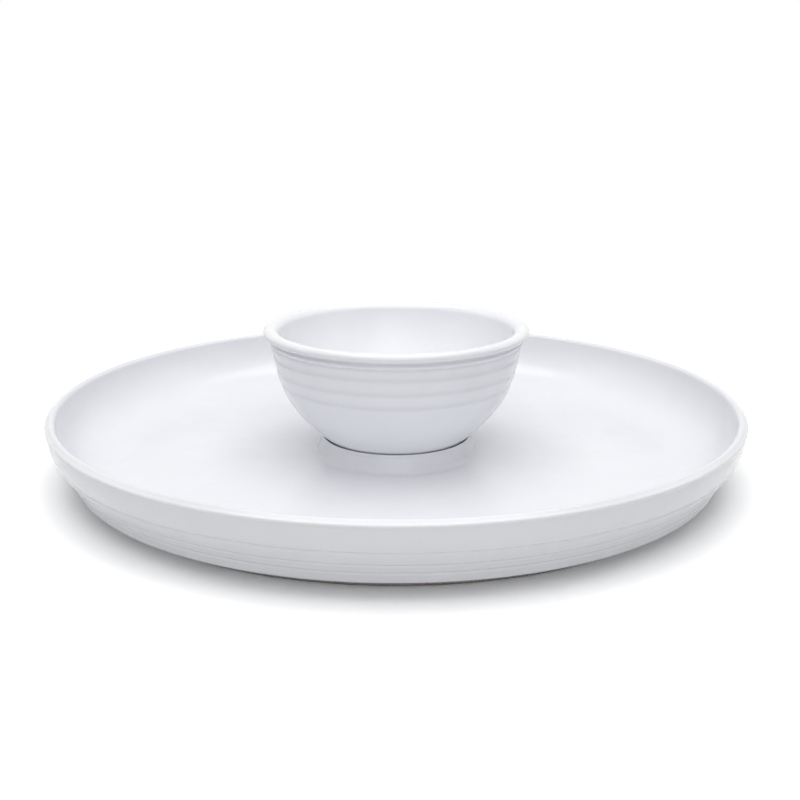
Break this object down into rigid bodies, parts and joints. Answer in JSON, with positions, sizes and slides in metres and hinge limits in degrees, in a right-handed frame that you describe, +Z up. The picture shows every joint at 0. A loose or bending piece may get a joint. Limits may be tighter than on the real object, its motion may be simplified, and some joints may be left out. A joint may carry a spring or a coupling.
{
  "type": "chip and dip server",
  "caption": "Round white stoneware chip platter with a raised central seat that holds a lift-out dip bowl with a beaded rim and shallow rings.",
  "frame": {"origin": "centre of the face of the platter's foot ring, on the table", "axes": "+Z up along the axis that the platter and the bowl share; the part is round, so +X and +Y are any two level directions"},
  "size_m": [0.33, 0.33, 0.0705],
  "materials": {
    "platter_glaze": "glossy white glaze over stoneware, foot ring bare",
    "bowl_glaze": "glossy white glaze over stoneware, foot ring bare"
  },
  "bodies": {
    "platter": {"platter": "platter_glaze"},
    "dip_bowl": {"dip_bowl": "bowl_glaze"}
  },
  "joints": [
    {"name": "bowl_lift", "type": "slide", "parent": "platter", "child": "dip_bowl", "axis": [0, 0, 1], "range_m": [0, 0.08]}
  ]
}
